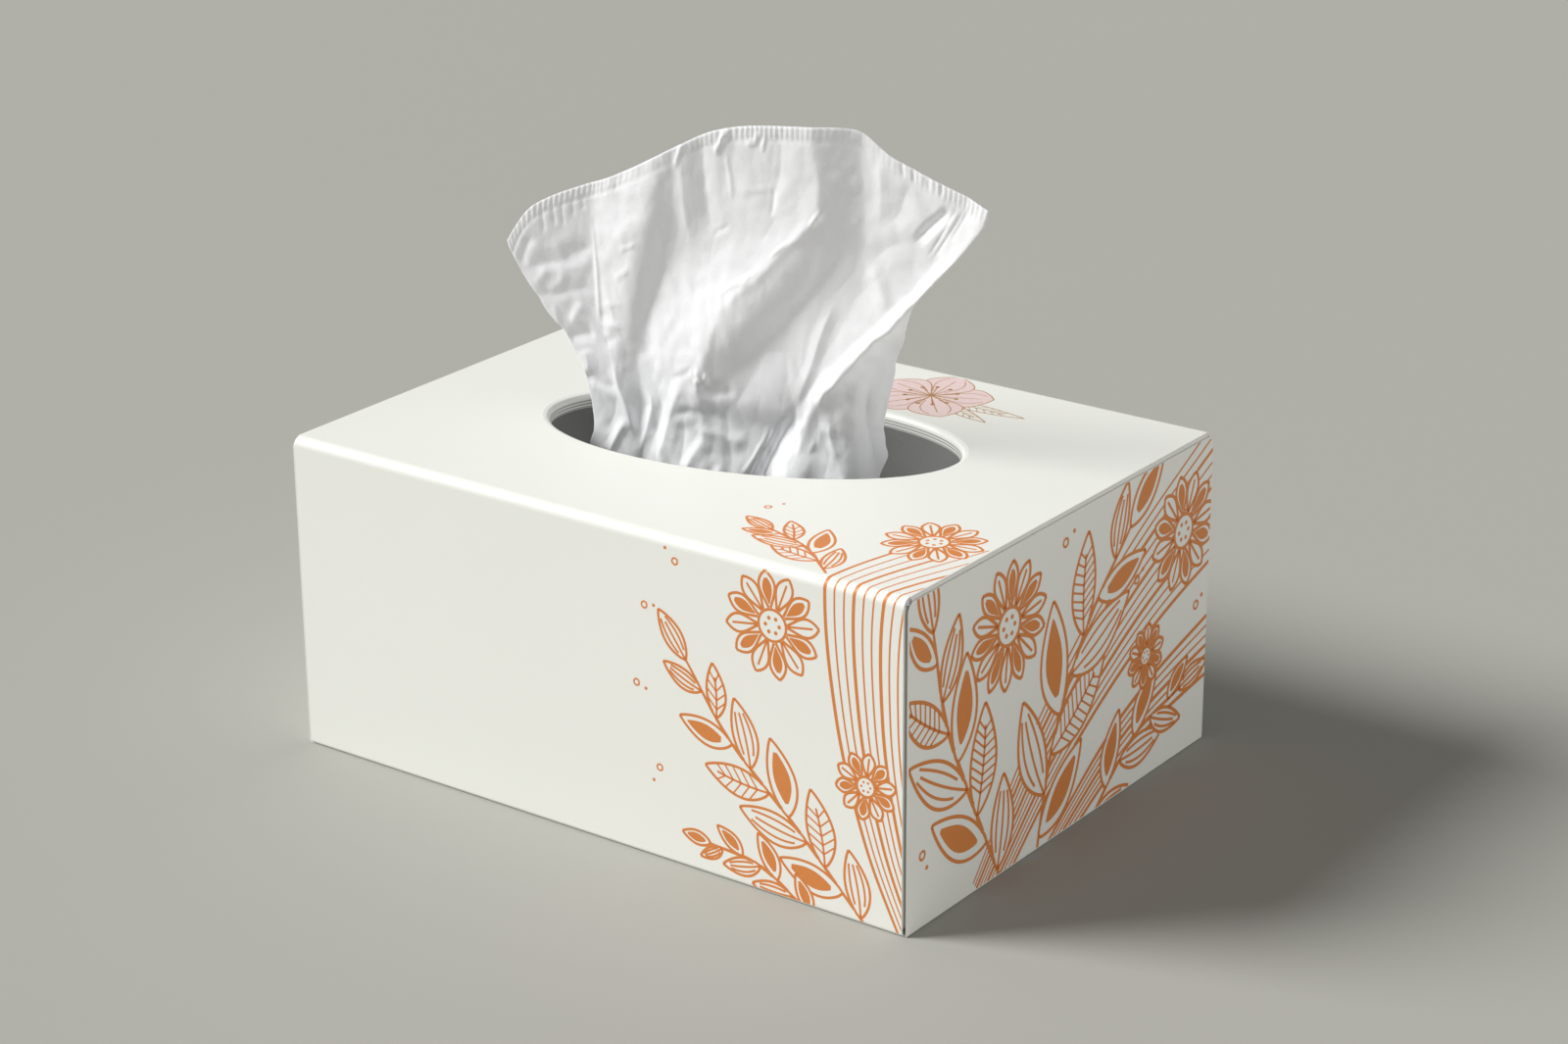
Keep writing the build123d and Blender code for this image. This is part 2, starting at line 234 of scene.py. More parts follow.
# Fold lines from the left edge to the right: softness as a share of the fold depth, then places across the
# fan and depths towards the front at each level; levels are shares of the rise, and -1 is the sheet's foot
fold_level_shares = (-1, -0.15, 0, 0.1, 0.2, 0.3, 0.4, 0.5, 0.6, 0.7, 0.8, 1)
fold_line_shares = (
    (  # left edge
        0.15,
        (-0.49, -0.36, -0.36, -0.375, -0.4, -0.455, -0.5, -0.535, -0.545, -0.545, -0.545, -0.54),
        (-0.2, -0.25, -0.42, -0.42, -0.42, -0.42, -0.42, -0.42, -0.42, -0.42, -0.42, -0.42),
    ),
    (  # crease of the left wing
        0.07,
        (-0.33, -0.255, -0.27, -0.295, -0.325, -0.345, -0.35, -0.355, -0.355, -0.36, -0.36, -0.36),
        (-0.05, 0.05, -0.12, -0.25, -0.43, -0.56, -0.6, -0.6, -0.62, -0.62, -0.62, -0.62),
    ),
    (  # left ridge
        0.2,
        (-0.295, -0.245, -0.26, -0.285, -0.3, -0.305, -0.295, -0.27, -0.245, -0.22, -0.195, -0.175),
        (-0.1, 0.1, -0.18, -0.25, -0.31, -0.33, -0.28, -0.17, -0.04, 0, 0.02, 0),
    ),
    (  # left valley
        0.15,
        (-0.27, -0.24, -0.25, -0.265, -0.255, -0.235, -0.21, -0.185, -0.17, -0.165, -0.165, -0.155),
        (-0.2, -0.1, -0.44, -0.5, -0.53, -0.54, -0.5, -0.42, -0.31, -0.18, -0.12, -0.1),
    ),
    (  # middle
        0.6,
        (-0.19, -0.18, -0.195, -0.2, -0.195, -0.165, -0.135, -0.1, -0.06, -0.045, -0.04, -0.03),
        (0, 0.3, -0.07, -0.14, -0.2, -0.23, -0.22, -0.16, -0.09, -0.06, -0.06, -0.06),
    ),
    (  # diagonal ridge
        0.08,
        (-0.085, -0.095, -0.105, -0.11, -0.1, -0.075, -0.045, 0.01, 0.07, 0.135, 0.15, 0.14),
        (0.1, 0.5, 0.23, 0.28, 0.33, 0.4, 0.45, 0.46, 0.49, 0.52, 0.44, 0.32),
    ),
    (  # diagonal valley
        0.4,
        (-0.03, -0.04, -0.07, -0.075, -0.02, 0.045, 0.1, 0.145, 0.175, 0.19, 0.2, 0.2),
        (0.05, 0.4, 0.07, 0.07, 0.04, 0, 0, 0.03, 0.08, 0.17, 0.14, 0.06),
    ),
    (  # crease of the right wing
        0.08,
        (0.025, 0.015, 0.045, 0.085, 0.12, 0.16, 0.19, 0.225, 0.235, 0.235, 0.23, 0.225),
        (0.05, 0.3, 0.05, 0.2, 0.25, 0.2, 0.11, 0.08, 0.06, 0.05, 0.02, -0.04),
    ),
    (  # foot of the hem
        0.07,
        (0.04, 0.025, 0.065, 0.1, 0.14, 0.205, 0.265, 0.32, 0.375, 0.405, 0.445, 0.455),
        (-0.2, -0.05, -0.22, 0.16, 0.25, 0.3, 0.35, 0.4, 0.46, 0.52, 0.6, 0.6),
    ),
    (  # crest of the hem
        0.06,
        (0.11, 0.09, 0.11, 0.135, 0.18, 0.235, 0.295, 0.345, 0.4, 0.455, 0.495, 0.5),
        (0.3, 0.8, 0.53, 0.6, 0.65, 0.69, 0.73, 0.77, 0.81, 0.85, 0.88, 0.88),
    ),
    (  # fold behind the hem
        0.18,
        (0.29, 0.22, 0.22, 0.23, 0.24, 0.27, 0.31, 0.35, 0.403, 0.458, 0.498, 0.503),
        (0, 0.25, 0, -0.12, -0.2, -0.06, 0.18, 0.7, 0.82, 0.85, 0.88, 0.88),
    ),
    (  # right edge
        0.1,
        (0.405, 0.27, 0.26, 0.265, 0.28, 0.295, 0.325, 0.355, 0.406, 0.461, 0.501, 0.506),
        (-0.1, -0.35, -0.58, -0.6, -0.56, -0.33, 0.1, 0.71, 0.82, 0.85, 0.88, 0.88),
    ),
)

mm_in_metre = 1000
# Small creases, in millimetres: rise to the front, reach on the left and right of the way each runs, and
# its places as the camera sees them on the fan's flat plane, across from the opening's middle and up from
# the top panel
creases = (
    # left wing: grooves, short ridges and puckers under the rib
    (-0.8, 5.0, 2.4, ((-68, 38), (-62, 40.3), (-55, 42), (-46, 45))),
    (-0.6, 5.0, 1.6, ((-56, 43), (-51, 45), (-46, 47))),
    (-0.5, 3.4, 2.0, ((-65, 31.8), (-58, 32.3), (-51, 34.5), (-46, 35))),
    (0.35, 1.8, 1.8, ((-64, 34.5), (-61.5, 37), (-60.5, 39.5))),
    (0.4, 2.2, 2.2, ((-60.5, 33), (-56.5, 35.5), (-55, 40))),
    (0.35, 1.6, 2.2, ((-58.5, 30), (-57.5, 26), (-56.5, 22))),
    (0.6, 2.0, 3.4, ((-53.5, 24), (-51.5, 28), (-49, 31))),
    (-0.9, 4.0, 2.8, ((-55, 20.2), (-50, 21.5), (-46, 22.8))),
    (-0.6, 2.0, 2.4, ((-68, 39), (-66.8, 44), (-64.5, 48.5))),
    (-0.35, 1.0, 1.2, ((-61.5, 57), (-60.8, 49))),
    (-0.35, 1.0, 1.2, ((-58.3, 59), (-57.6, 51.5))),
    (-0.35, 1.0, 1.2, ((-55.5, 59), (-55, 51.5))),
    (-0.3, 1.0, 1.0, ((-52.3, 61), (-52, 54.5))),
    (-0.3, 1.0, 1.0, ((-49.3, 62), (-49, 57))),
    (-0.3, 1.0, 1.2, ((-43, 65.5), (-42.5, 61))),
    (-0.3, 1.0, 1.2, ((-39.5, 67.5), (-39, 62.5))),
    # crease of the left wing and jags of the left ridge
    (0.4, 1.0, 1.4, ((-46.8, 57.5), (-46, 50), (-45.2, 40), (-44.9, 30), (-44.6, 21))),
    (0.35, 0.9, 0.9, ((-38.5, 46.6), (-33, 49))),
    (0.4, 1.0, 1.0, ((-40.5, 38), (-35, 42))),
    (0.35, 0.9, 0.9, ((-43.5, 31), (-37.5, 31.8))),
    (0.45, 1.2, 1.2, ((-45, 25), (-38, 25.6))),
    (-0.3, 2.0, 2.5, ((-45, 28.5), (-41, 28))),
    (-0.5, 2.4, 2.4, ((-44, 20), (-41, 21.5), (-39.5, 23.5))),
    # foot: the gathers that pass through the opening
    (0.7, 3.4, 4.0, ((-49.5, 18), (-48.5, 14), (-48.5, 10))),
    (-0.7, 4.5, 2.2, ((-50.5, 10.2), (-46, 8.6), (-42, 7.6), (-39.5, 9))),
    (0.8, 1.5, 2.2, ((-41.2, 16), (-39.7, 9), (-37, 2), (-34, -8))),
    (1.0, 2.4, 2.4, ((-36.5, -0.5), (-40, -6), (-43, -12))),
    (-0.5, 3.2, 3.0, ((-41, 5), (-41, 0), (-44, -6))),
    (0.9, 2.6, 2.6, ((-32, 9.5), (-29.6, 5), (-30.2, 0), (-32, -6), (-34.5, -13))),
    (-0.4, 2.2, 2.4, ((-28.3, 9), (-26.9, 4), (-27.2, 0), (-29.5, -6))),
    (1.1, 4.4, 3.4, ((-19.5, 12), (-22.3, 6), (-24.3, 0), (-26, -6), (-29, -14))),
    (-0.5, 3.0, 3.2, ((-20, 1), (-20.3, -5), (-22, -14))),
    (0.9, 3.2, 2.6, ((-13, -3), (-16, -7), (-20.5, -15))),
    (-0.6, 3.0, 2.0, ((-24.5, 1.2), (-18, 3), (-10, 2.6), (-4, 0.5))),
    (0.9, 2.6, 2.8, ((-17.5, -1.2), (-10, -2), (-4, -3), (-0.5, -1))),
    (-0.5, 3.0, 3.0, ((-15, -7.4), (-8, -8), (-1, -7.4))),
    (0.8, 3.0, 3.0, ((-12, -14), (-7, -13.6), (-2, -14.4))),
    (0.9, 2.5, 2.5, ((-8, -11), (-10, -14), (-11, -18))),
    (0.6, 0.9, 0.9, ((9, 3), (5.2, -5), (0.8, -15))),
    (0.6, 0.9, 0.9, ((7, 2.5), (3.4, -5), (-1.2, -14))),
    (0.5, 0.9, 0.9, ((5, 2), (1.4, -6), (-3.4, -14))),
    (0.4, 0.8, 0.8, ((3, -2), (0, -8), (-5, -15))),
    (-0.25, 2.0, 4.0, ((12.8, -2.6), (16.5, -4), (21.5, -2))),
    (0.3, 1.0, 1.0, ((15.8, -4.4), (18, -0.6))),
    (0.8, 2.0, 2.5, ((22.5, 6), (23.5, 1), (26, -4))),
    (-1.5, 5.0, 5.0, ((20, 13), (16, 6), (12.8, -2), (10.5, -9), (9, -16))),
    (3.6, 10.0, 12.0, ((36, 24), (33, 14), (30.5, 3), (30, -6), (30.5, -19))),
    (0.7, 1.8, 2.8, ((23.6, -18), (26, -12.5), (28.3, -7.5))),
    (-0.9, 2.6, 2.4, ((34.5, 21), (33.3, 10), (34.8, 0), (37, -13))),
    # diagonal ridge: its pocket, nubs and frayed crest
    (-0.7, 4.0, 2.0, ((-17, 9.6), (-11, 9), (-4, 10.8))),
    (0.9, 1.2, 1.2, ((-16.8, 15.6), (-14.3, 12.8), (-12.3, 14.8))),
    (0.7, 1.0, 1.0, ((-17.5, 12.2), (-14.5, 11.6), (-12.4, 13))),
    (-0.5, 1.2, 1.4, ((-24, 12), (-20, 13.5), (-17, 16))),
    (0.6, 0.9, 0.9, ((-9, 37.5), (-4.5, 40.5), (0, 42))),
    (0.5, 0.8, 0.8, ((5, 48.5), (9.5, 52.5), (13.5, 54.3))),
    (0.5, 0.8, 0.8, ((-2, 42.6), (2, 44))),
    (0.9, 1.2, 1.6, ((16.5, 58), (18.3, 60.5), (20, 63))),
    (0.7, 2.8, 2.6, ((24, 40), (20.5, 31), (16.5, 19), (12.5, 8.5))),
    # swells in the falling sides of the left ridge and of the diagonal ridge
    (1.0, 5.5, 5.5, ((-26, 66), (-30, 50), (-33, 38), (-35, 25), (-35, 12))),
    (1.5, 7.5, 7.5, ((23, 62), (15, 48), (6, 37), (-3, 27), (-9, 16))),
    # upper middle: short spikes under the rib and soft rolls below them
    (0.9, 1.2, 1.6, ((-10, 75.5), (-8.5, 79), (-5.8, 83))),
    (0.6, 0.9, 1.2, ((-8, 78.5), (-7, 82.5))),
    (0.7, 1.2, 1.2, ((-1.5, 79.6), (1.5, 80.2), (2.4, 83))),
    (0.6, 0.9, 0.9, ((3.4, 77.5), (4.4, 82))),
    (0.7, 1.2, 1.2, ((-21.6, 71), (-20, 75.5), (-18.6, 79))),
    (-1.0, 4.5, 4.5, ((-14, 82), (-13.6, 70), (-12.5, 60), (-10.5, 52))),
    (0.6, 3.4, 3.4, ((-20, 77), (-19.4, 68), (-18.6, 58), (-17, 49))),
    (0.35, 1.0, 1.0, ((-7, 77), (-5.6, 69), (-5, 63))),
    (0.3, 0.7, 0.9, ((-3, 66.3), (2, 67.2), (6.6, 68))),
    (-0.4, 1.3, 0.8, ((6.2, 68.5), (6.2, 64), (5.6, 59.5))),
    (-0.5, 3.4, 3.4, ((8, 84), (8.6, 76), (7.6, 69), (5.5, 60))),
    (-0.4, 1.0, 1.0, ((-10.6, 54.2), (-6, 56.6))),
    # right wing: a dimple, soft rolls, lines beside the hem and puckers under the rib
    (-1.8, 2.2, 2.6, ((45.5, 57), (50, 62), (55.5, 67))),
    (0.8, 2.8, 4.0, ((34, 50.5), (36.6, 44.5), (38.6, 37))),
    (-0.5, 4.0, 4.0, ((34, 51), (39, 55.5), (45, 57))),
    (-0.5, 4.0, 4.0, ((38, 61), (41.5, 65), (43.5, 72))),
    (0.4, 3.0, 3.0, ((36, 80), (36.5, 70), (36, 60))),
    (-0.35, 0.7, 0.7, ((57.8, 69), (53.2, 60.5), (49, 53))),
    (-0.35, 0.7, 0.7, ((59, 67.4), (54.8, 60), (50.6, 53))),
    (-0.3, 0.7, 0.7, ((60.3, 67.6), (57.3, 62), (55, 58))),
    (-0.5, 0.9, 0.9, ((41.5, 78.5), (42.8, 74.5))),
    (-0.5, 0.9, 0.9, ((44.5, 77.3), (45.6, 73.2))),
    (-0.5, 0.9, 0.9, ((48.5, 75.5), (49.4, 71.8))),
    (-0.5, 0.9, 0.9, ((52.5, 73.7), (53.2, 70.2))),
)
# How far what the camera sees on the fan's plane lies off for each step of depth: across, and up
camera_slant = (0.41, 0.42)
slant_rounds = 6
crease_steps = 6
crease_fade_share = 0.25
crease_sharpness = 1.35
sharp_reach = 0.0042
round_reach = 0.0060
rib_band = 0.0037
rib_pitch = 0.0015
rib_rise = 0.00018
rib_edge = 0.0007
rib_line_width = 0.0005
rib_line_share = 1.2
rib_drift_lengths = (0.0041, 0.0023, 0.0093)
rib_drift_turn = 1.6
rib_even_share = 0.6
fold_wander = 0.0013
fold_wander_scales = (110, 300)
fold_wander_slices = (8.3, 2.9)
fine_wander_share = 0.5
edge_wander = 0.0018
edge_wander_scale = 150
edge_wander_slices = (4.0, 1.9)
edge_gather_height = 0.022
taut_edge_share = 0.25
edge_narrowness = 8
crumple_rise = 0.0007
gather_crumple_rise = 0.0003
gather_crumple_height = 0.016
facet_scales = (75, 48)
facet_bend = 0.25
facet_bend_scale = 60
facet_slices = (6.7, 3.1)
small_facet_scale = 2.3
small_facet_share = 0.3
mean_facet = 0.4
tissue_white = (0.805, 0.81, 0.825, 1.0)
tissue_white_low = (0.765, 0.77, 0.785, 1.0)
tissue_drift_scale = 90.0
crepe_scale = 1500.0
crepe_share = 0.14
crepe_height = 0.0004


def along(rows, level, column=1):
    """Values of a column at levels, on a smooth curve through rows sorted by level."""
    rows = np.array(rows, float)
    steps, values = rows[:, 0], rows[:, column]
    last = len(rows) - 1
    before = np.maximum(np.arange(last + 1) - 1, 0)
    after = np.minimum(np.arange(last + 1) + 1, last)
    slopes = (values[after] - values[before]) / (steps[after] - steps[before])
    level = np.clip(level, steps[0], steps[-1])
    low = np.clip(np.searchsorted(steps, level, side="right") - 1, 0, last - 1)
    span = steps[low + 1] - steps[low]
    way = (level - steps[low]) / span
    start = values[low] * (1 + 2 * way) + slopes[low] * span * way
    end = values[low + 1] * (3 - 2 * way) + slopes[low + 1] * span * (way - 1)
    return start * (1 - way) ** 2 + end * way ** 2


def level_at(height):
    """Level of a height above the top panel."""
    sunk = np.clip(1 + height / sheet_inside, 0, 1) ** (sheet_inside / sheet_rise) - 1
    return np.where(height > 0, height / sheet_rise, sunk)


fold_lines = [
    (fold_depth * softness, np.column_stack([fold_level_shares, places, depths]))
    for softness, places, depths in fold_line_shares
]


def fold_front(across, level):
    """Depth to the front of a line across the sheet: straight runs between fold lines, rounded at each."""
    places = [fan_width * along(rows, level, 1) for softness, rows in fold_lines]
    depths = [fold_depth * along(rows, level, 2) for softness, rows in fold_lines]
    slopes = []
    for k in range(len(places) - 1):
        gap = np.maximum(places[k + 1] - places[k], fold_line_gap)
        slopes.append((depths[k + 1] - depths[k]) / gap)
    front = depths[0] + slopes[0] * (across - places[0])
    for k in range(1, len(slopes)):
        past = across - places[k]
        rounded = (past + np.sqrt(past ** 2 + fold_lines[k][0] ** 2)) / 2
        front = front + (slopes[k] - slopes[k - 1]) * rounded
    return front


def smooth_run(places, steps):
    """Points on a smooth curve through places, and their shares of its way."""
    places = np.array(places, float)
    chords = np.concatenate([[0.0], np.cumsum(np.hypot(*np.diff(places, axis=0).T))])
    rows = np.column_stack([chords / chords[-1], places])
    way = np.linspace(0, 1, steps)
    return np.column_stack([along(rows, way, 1), along(rows, way, 2)]), way


def onto_sheet(places):
    """Moves places seen on the fan's flat plane to where they lie on the folded sheet."""
    seen = np.array(places) / mm_in_metre
    moved = seen
    for again in range(slant_rounds):
        moved = seen + np.outer(fold_front(moved[:, 0], level_at(moved[:, 1])), camera_slant)
    return moved


def crease_front(across, height):
    """Depth to the front of the small creases: narrow ones sharp, wide ones round, fading at both ends."""
    total = np.zeros_like(across)
    for rise, left_reach, right_reach, places in creases:
        run, way = smooth_run(onto_sheet(places), crease_steps * (len(places) - 1) + 1)
        reach = max(left_reach, right_reach) / mm_in_metre
        low, high = run.min(axis=0) - reach, run.max(axis=0) + reach
        beside = (across > low[0]) & (across < high[0])
        near = np.nonzero(beside & (height > low[1]) & (height < high[1]))[0]
        best = np.full(len(near), 1.0)
        side = np.zeros(len(near))
        place = np.zeros(len(near))
        for k in range(len(run) - 1):
            step = run[k + 1] - run[k]
            from_x, from_y = across[near] - run[k, 0], height[near] - run[k, 1]
            share = np.clip((from_x * step[0] + from_y * step[1]) / (step @ step), 0, 1)
            gap = np.hypot(from_x - share * step[0], from_y - share * step[1])
            nearer = gap < best
            best = np.where(nearer, gap, best)
            side = np.where(nearer, step[0] * from_y - step[1] * from_x, side)
            place = np.where(nearer, way[k] + share * (way[k + 1] - way[k]), place)
        width = np.where(side > 0, left_reach, right_reach) / mm_in_metre
        fade = np.clip(np.minimum(place, 1 - place) / crease_fade_share, 0, 1)
        fade = fade * fade * (3 - 2 * fade)
        gone = np.clip(best / width, 0, 1)
        rounded = np.clip((width - sharp_reach) / (round_reach - sharp_reach), 0, 1)
        shape = (1 - rounded) * (1 - gone) ** crease_sharpness + rounded * (1 - gone ** 2) ** 2
        total[near] += rise / mm_in_metre * fade * shape
    return total


def rib_front(share, way):
    """Depth to the front of the pressed ribs in the band along the top edge."""
    below = (1 - way) * (sheet_inside + sheet_rise * along(top_edge_shares, share))
    edge = fan_width * share
    long_drift, short_drift, strength_drift = (np.sin(edge / length) for length in rib_drift_lengths)
    ribs = np.sin(2 * math.pi * edge / rib_pitch + rib_drift_turn * long_drift + short_drift)
    band = np.clip((rib_band - below) / rib_edge, 0, 1)
    line = np.exp(-(((below - rib_band) / rib_line_width) ** 2))
    strength = rib_even_share + (1 - rib_even_share) * strength_drift
    return rib_rise * (band * ribs * strength - rib_line_share * line)


def crumple_front(across, height):
    """Depth to the front of the paper's crumples: flat facets, large and small, with sharp creases."""
    gathered = np.exp(-(np.clip(height, 0, None) / gather_crumple_height) ** 2)
    rough = np.empty_like(across)
    for k, (x, z) in enumerate(zip(across, height)):
        bend_spot = Vector((x * facet_bend_scale, z * facet_bend_scale, facet_slices[0]))
        bent = facet_bend * paper_noise.noise(bend_spot)
        spot = Vector((x * facet_scales[0] + bent, z * facet_scales[1] + bent, facet_slices[1]))
        large = paper_noise.voronoi(spot)[0]
        small = paper_noise.voronoi(spot * small_facet_scale)[0]
        rough[k] = large[1] - large[0] + small_facet_share * (small[1] - small[0]) - mean_facet
    return (crumple_rise + gather_crumple_rise * gathered) * rough


def wander(across, height):
    """How far the folds wander off their lines, as soft paper does."""
    wide, fine = fold_wander_scales
    off = []
    for x, z in zip(across, height):
        slow = paper_noise.noise((x * wide, z * wide, fold_wander_slices[0]))
        quick = paper_noise.noise((x * fine, z * fine, fold_wander_slices[1]))
        off.append(slow + fine_wander_share * quick)
    return fold_wander * np.array(off)


def uneven_edge(share, height):
    """How far the sheet's two side edges wander, most where they are gathered."""
    beside = 2 * share - 1
    off = []
    apart, slab = edge_wander_slices
    for side, z in zip(beside, height):
        off.append(paper_noise.noise((z * edge_wander_scale, apart * round(side), slab)))
    gathered = np.exp(-(np.clip(height, 0, None) / edge_gather_height) ** 2)
    loose = taut_edge_share + (1 - taut_edge_share) * gathered
    return edge_wander * loose * beside ** edge_narrowness * np.array(off)


def sheet_points(share, way):
    """Places of the sheet in the fan's own frame: across, towards the front, above the top panel."""
    height = way * (sheet_inside + sheet_rise * along(top_edge_shares, share)) - sheet_inside
    level = level_at(height)
    left = fan_width * along(fold_lines[0][1], level)
    right = fan_width * along(fold_lines[-1][1], level)
    across = left + share * (right - left) + uneven_edge(share, height)
    front = fold_front(across + wander(across, height), level) + crease_front(across, height)
    front = front + rib_front(share, way) + crumple_front(across, height)
    return across, front, height


def put_in_scene(name, data):
    """A new object in the scene."""
    made = bpy.data.objects.new(name, data)
    bpy.context.scene.collection.objects.link(made)
    return made


def put_mesh(name, points, faces):
    """A new object in the scene, with a mesh of points and faces."""
    made = put_in_scene(name, bpy.data.meshes.new(name))
    made.data.from_pydata(points, [], faces)
    return made


share, way = np.meshgrid(np.linspace(0, 1, sheet_columns), np.linspace(0, 1, sheet_rows))
across, front, height = sheet_points(share.ravel(), way.ravel())
turn_cos, turn_sin = math.cos(opening_turn), math.sin(opening_turn)
points = np.column_stack([
    opening_centre[0] + across * turn_cos + front * turn_sin,
    opening_centre[1] + across * turn_sin - front * turn_cos,
    carton_height + height,
])
quads = []
for row in range(sheet_rows - 1):
    for column in range(sheet_columns - 1):
        first = row * sheet_columns + column
        quads.append((first, first + 1, first + sheet_columns + 1, first + sheet_columns))
drawn_tissue = put_mesh("drawn_tissue", points.tolist(), quads)
drawn_tissue.data.shade_smooth()
thicken = drawn_tissue.modifiers.new("two_plies", "SOLIDIFY")
thicken.thickness = sheet_thickness
thicken.offset = 0.0


def paint(tree, shader, share, low, high):
    """Colours a shader between two colours, by a share socket."""
    tree.links.new(blend_colours(tree, share, low, high), shader.inputs["Base Color"])


tissue_look, tree, shader, place = new_material(
    "creped_tissue", Roughness=1.0, Specular_IOR_Level=0.05, Sheen_Weight=0.04, Sheen_Roughness=0.5,
    Subsurface_Weight=1.0, Subsurface_Radius=(1.0, 1.0, 1.0), Subsurface_Scale=0.0003
)
paint(tree, shader, noise(tree, place, tissue_drift_scale), tissue_white_low, tissue_white)
emboss(tree, shader, noise(tree, place, crepe_scale), crepe_share, crepe_height)
drawn_tissue.data.materials.append(tissue_look)
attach(drawn_tissue, "root")
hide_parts("pulled_tissue")


# Tissue stack: the folded tissues that are left, interleaved and lying flat on the carton's bottom.
# Each bundle of sheets has a round fold at the front and back, and the top one is loosely wrinkled.
stack_low, stack_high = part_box("tissue_stack")
stack_bundles = 20
bundle_points = 4
bundle_groove = 0.0007
stack_fold_radius = 0.0035
top_points = 150
stack_columns = 90
top_fold_place = 0.009
top_fold_step = 0.0012
top_fold_width = 0.0010
top_fold_wander = 0.003
top_fold_wander_scale = 30
top_fold_slices = (0.3, 5.1)
top_wrinkle = 0.0008
top_wrinkle_scales = (45, 130)
top_wrinkle_slice = 1.7
sheet_slip = 0.0005
slip_scales = (25, 420)
front_slip_slice, back_slip_slice = 7.0, 3.0
stack_white = (0.90, 0.90, 0.90, 1.0)
stack_white_low = (0.78, 0.78, 0.77, 1.0)
stack_drift_scale = 120.0
stack_ply_pitch = 0.00044
stack_ply_contrast = 0.25
stack_drift_share = 0.8
stack_ply_rise_share = 0.3
stack_crepe_share = 0.15


def slip(x, z, slab):
    """How far a bundle's fold has slipped in from the stack's front or back."""
    return sheet_slip * abs(paper_noise.noise((x * slip_scales[0], slab, z * slip_scales[1])))


side_height = np.linspace(stack_low.z, stack_high.z, stack_bundles * bundle_points + 1)
to_corner = np.minimum(side_height - stack_low.z, stack_high.z - side_height)
corner_inset = stack_fold_radius - np.sqrt(
    stack_fold_radius ** 2 - np.clip(stack_fold_radius - to_corner, 0, None) ** 2
)
bundle_share = np.arange(len(side_height)) / bundle_points
groove = bundle_groove * (1 - np.abs(np.sin(math.pi * bundle_share))) ** 2
groove[[0, -1]] = 0.0
side_reach = stack_high.y - corner_inset - groove
top_reach = np.linspace(-1, 1, top_points + 2)[1:-1] * (stack_high.y - stack_fold_radius)
stack_points = []
for column in range(stack_columns):
    x = stack_low.x + (stack_high.x - stack_low.x) * column / (stack_columns - 1)
    ring = [(x, -y + slip(x, z, front_slip_slice), z) for z, y in zip(side_height, side_reach)]
    for y in top_reach:
        wrinkle_spot = (x * top_wrinkle_scales[0], y * top_wrinkle_scales[1], top_wrinkle_slice)
        ripple = paper_noise.noise(wrinkle_spot)
        fold_off = top_fold_wander * paper_noise.noise((x * top_fold_wander_scale, *top_fold_slices))
        past_fold = (y - top_fold_place - fold_off) / top_fold_width
        sunk = top_wrinkle * abs(ripple) + top_fold_step * min(max(past_fold, 0.0), 1.0)
        ring.append((x, y, stack_high.z - sunk))
    back_side = zip(side_height[::-1], side_reach[::-1])
    ring += [(x, y - slip(x, z, back_slip_slice), z) for z, y in back_side]
    stack_points += ring
ring_size = len(stack_points) // stack_columns
last_ring = (stack_columns - 1) * ring_size
stack_faces = [tuple(range(ring_size)), tuple(last_ring + k for k in reversed(range(ring_size)))]
for column in range(stack_columns - 1):
    for k in range(ring_size):
        first, second = column * ring_size + k, column * ring_size + (k + 1) % ring_size
        stack_faces.append((first, first + ring_size, second + ring_size, second))
folded_tissues = put_mesh("folded_tissues", stack_points, stack_faces)
stack_look, tree, shader, place = new_material(
    "folded_tissue", Roughness=0.92, Specular_IOR_Level=0.15, Sheen_Weight=0.08, Sheen_Roughness=0.5
)
height_only = add_node(tree, "SeparateXYZ", {0: place}).outputs[2]
ply_wave = calc(tree, "SINE", calc(tree, "MULTIPLY", height_only, 2 * math.pi / stack_ply_pitch))
drift = calc(tree, "MULTIPLY", noise(tree, place, stack_drift_scale), stack_drift_share)
tone = calc(tree, "MULTIPLY_ADD", ply_wave, stack_ply_contrast, drift)
paint(tree, shader, tone, stack_white_low, stack_white)
ply_rise = calc(tree, "MULTIPLY", ply_wave, stack_ply_rise_share)
creping = calc(tree, "ADD", noise(tree, place, crepe_scale), ply_rise)
emboss(tree, shader, creping, stack_crepe_share, crepe_height)
folded_tissues.data.materials.append(stack_look)
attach(folded_tissues, "root")
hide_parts("tissue_stack")


# Leaf print: fronds, daisies and dots in orange ink, laid on the coated board before it was folded.
# It covers the right end, and the right of the front from where it runs over the crease onto the top.
# Places are millimetres on the flat board, along the panel and up it; the front's run on over the top.
ink_lift = 0.00002
ink_layer = 0.000002
ink_layers = 32
ink_mottle_scale = 700.0
orange = (0.71, 0.25, 0.066, 1.0)
orange_low = (0.66, 0.225, 0.052, 1.0)
ink_thickness = 0.00002
ink_weld = 1e-6
least_length = 1e-9
crease_radius = 0.0026
front_line, end_line = 0.75, 1.0
leaf_steps_per_mm, least_leaf_steps = 0.9, 12
ring_steps_per_mm, least_ring_steps = 8, 9
stem_steps, front_ray_steps, end_ray_steps = 90, 320, 110
leaf_roundness = 0.85
leaf_bluntness = 0.9
core_shares = (0.16, 0.86)
midrib_share = 0.82
solid_core_share = 0.62
inner_line_share = 0.55
vein_reach_share = 0.92
fine_line_share = 0.8
vein_line_share = 0.6
vein_gap, vein_steps = 2, 4
leaf_turn_deg = 42.0
first_leaf_share = 0.10
leafy_stem_share = 0.80
stem_line_share = 1.5
stem_taper = 0.4
least_leaf_share = 0.62
leaf_swell_lead = 0.12
leaf_bend_share = 0.16
